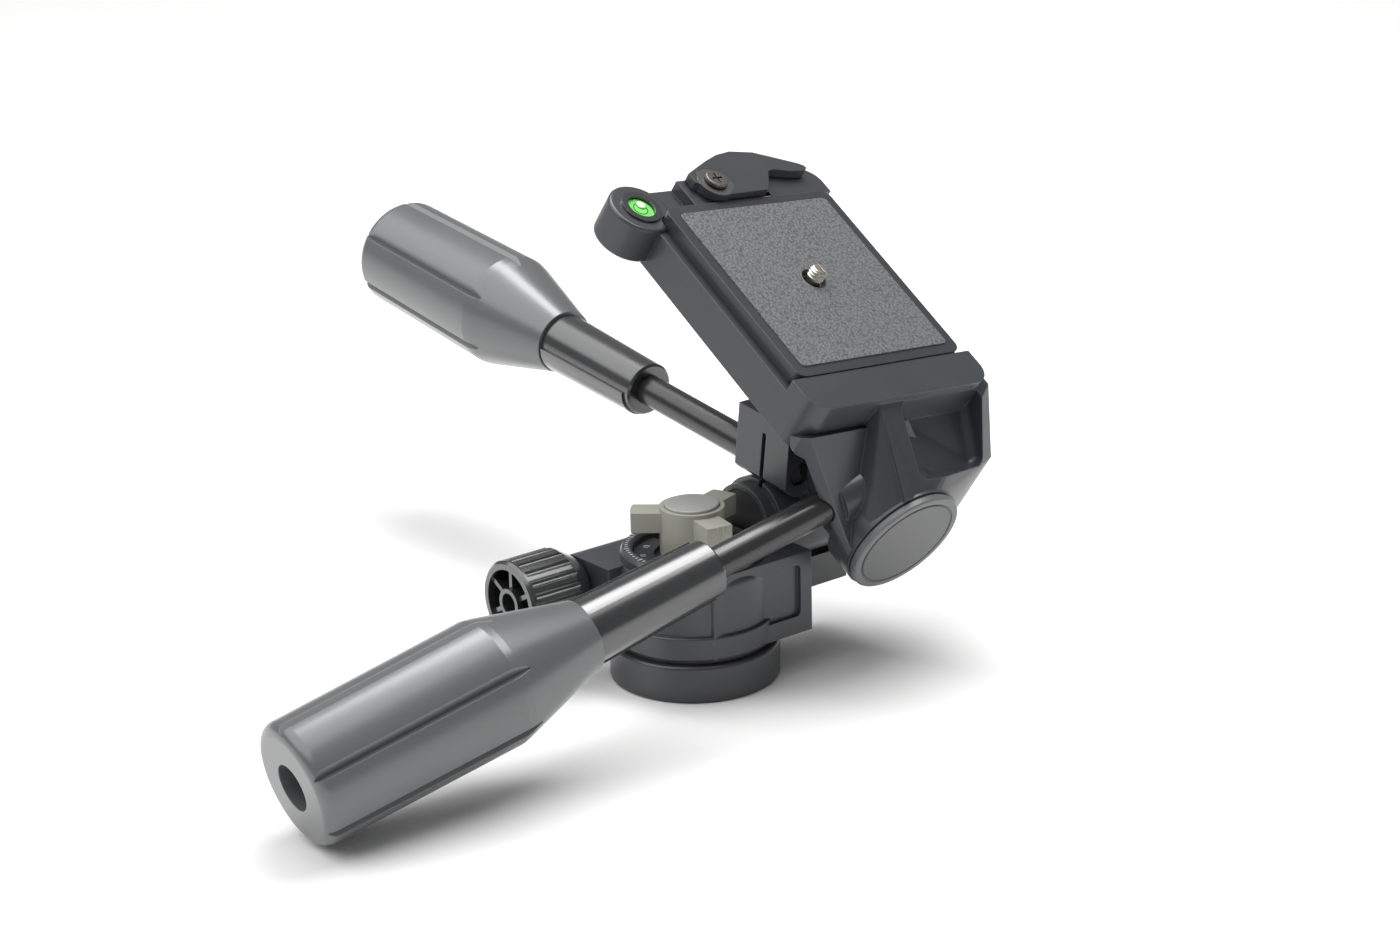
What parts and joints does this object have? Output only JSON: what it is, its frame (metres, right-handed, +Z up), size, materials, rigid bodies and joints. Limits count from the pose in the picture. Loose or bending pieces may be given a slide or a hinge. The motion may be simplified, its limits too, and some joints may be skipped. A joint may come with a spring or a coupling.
{
  "type": "three way pan tilt head",
  "caption": "Camera support head with a panning base, front tilt and side tilt axes, twist-to-lock handles, a pan lock knob, and a tilted quick release platform with lever and bubble level.",
  "frame": {"origin": "on the pan axis at the underside of the base disc, in the mouth of the tripod socket", "axes": "+Z up along the pan axis, +X along the front tilt axis towards the side tilt barrel, -Y towards the side where the lens looks"},
  "size_m": [0.2867, 0.2945, 0.1678],
  "materials": {
    "black_steel": "satin black",
    "brass": "turned brass",
    "bronze": "sintered bronze",
    "cap_grey": "pale grey inlay",
    "charcoal_casting": "satin dark grey coating on die-cast metal",
    "charcoal_plastic": "dark grey moulding",
    "charcoal_platform": "satin dark grey coating on light alloy",
    "gloss_black": "glossy black",
    "grip_grey": "soft matt mid grey",
    "lime": "bright green spirit under a clear window",
    "medallion_grey": "flat mid grey",
    "nylon": "natural nylon",
    "pad_grey": "fine leather-like grain",
    "steel": "bright turned steel",
    "wing_grey": "warm light grey moulding"
  },
  "bodies": {
    "base": {"base_disc": "charcoal_casting", "threaded_insert": "brass", "pan_spindle": "steel", "pan_washer": "nylon"},
    "pan_body": {"pan_housing": "charcoal_platform", "pan_bushing": "bronze", "dial_ring": "charcoal_plastic", "pan_lock_nut": "steel", "tilt_shaft": "steel", "tilt_end_caps": "charcoal_plastic", "tilt_washers": "nylon"},
    "wing_knob": {"wing_knob": "wing_grey", "wing_knob_cap": "cap_grey", "wing_knob_screw": "steel"},
    "pan_lock": {"pan_lock_knob": "gloss_black", "pan_lock_screw": "steel"},
    "tilt_arm": {"tilt_body": "charcoal_platform", "tilt_bushings": "bronze", "side_shaft": "steel", "side_washer": "steel", "side_nut": "steel"},
    "tilt_handle": {"tilt_handle_rod": "black_steel", "tilt_handle_sleeve": "gloss_black", "tilt_handle_grip": "grip_grey"},
    "platform": {"platform_bracket": "charcoal_platform", "side_bushing": "bronze", "medallion": "medallion_grey", "bubble_level": "lime", "level_cover_ring": "gloss_black", "lever_screw": "steel"},
    "side_handle": {"side_handle_rod": "black_steel", "side_handle_sleeve": "gloss_black", "side_handle_grip": "grip_grey"},
    "lever": {"lock_lever": "charcoal_casting", "lever_washer": "steel"},
    "jaw": {"lock_jaw": "steel"},
    "plate": {"quick_release_plate": "charcoal_platform", "rubber_pad": "pad_grey"},
    "camera_screw": {"camera_screw": "steel"},
    "d_ring": {"d_ring": "steel"}
  },
  "joints": [
    {"name": "pan", "type": "hinge", "parent": "base", "child": "pan_body", "pos_m": [0, 0, 0.015], "axis": [0, 0, 1], "continuous": true},
    {"name": "wing_knob_turn", "type": "hinge", "parent": "pan_body", "child": "wing_knob", "pos_m": [0, 0, 0.055], "axis": [0, 0, 1], "range_deg": [-180, 180]},
    {"name": "pan_lock_turn", "type": "hinge", "parent": "pan_body", "child": "pan_lock", "pos_m": [-0.046, 0.027, 0.033], "axis": [1, 0, 0], "range_deg": [-360, 45]},
    {"name": "front_tilt", "type": "hinge", "parent": "pan_body", "child": "tilt_arm", "pos_m": [0, 0, 0.0495], "axis": [1, 0, 0], "range_deg": [-62, 15]},
    {"name": "tilt_handle_twist", "type": "hinge", "parent": "tilt_arm", "child": "tilt_handle", "pos_m": [0.034, -0.00298, 0.0718], "axis": [0, 0.9912, 0.1323], "range_deg": [-180, 180]},
    {"name": "side_tilt", "type": "hinge", "parent": "tilt_arm", "child": "platform", "pos_m": [0.052, -0.01484, 0.07325], "axis": [0, 0.848, 0.5299], "range_deg": [-6.6, 83]},
    {"name": "side_handle_twist", "type": "hinge", "parent": "platform", "child": "side_handle", "pos_m": [0.04906, -0.04307, 0.07198], "axis": [-0.9759, 0.0543, -0.2116], "range_deg": [-180, 180]},
    {"name": "lever_swing", "type": "hinge", "parent": "platform", "child": "lever", "pos_m": [0.04599, 0.04172, 0.16021], "axis": [0.1149, -0.5264, 0.8424], "range_deg": [0, 55], "stiffness_Nm_per_rad": 0.02, "springref_deg": -17.19},
    {"name": "jaw_slide", "type": "slide", "parent": "platform", "child": "jaw", "axis": [0, 0.848, 0.5299], "range_m": [0, 0.0014]},
    {"name": "plate_lift", "type": "slide", "parent": "platform", "child": "plate", "axis": [0.1149, -0.5264, 0.8424], "range_m": [0, 0.03]},
    {"name": "camera_screw_turn", "type": "hinge", "parent": "plate", "child": "camera_screw", "pos_m": [0.05688, 0.0001, 0.13237], "axis": [0.1149, -0.5264, 0.8424], "continuous": true},
    {"name": "d_ring_fold", "type": "hinge", "parent": "camera_screw", "child": "d_ring", "pos_m": [0.05599, 0.00421, 0.12579], "axis": [-0.9934, -0.0609, 0.0975], "range_deg": [0, 85]}
  ],
  "couplings": [
    {"joint": "jaw_slide", "follows": "lever_swing", "m_per_rad": 0.00135}
  ]
}
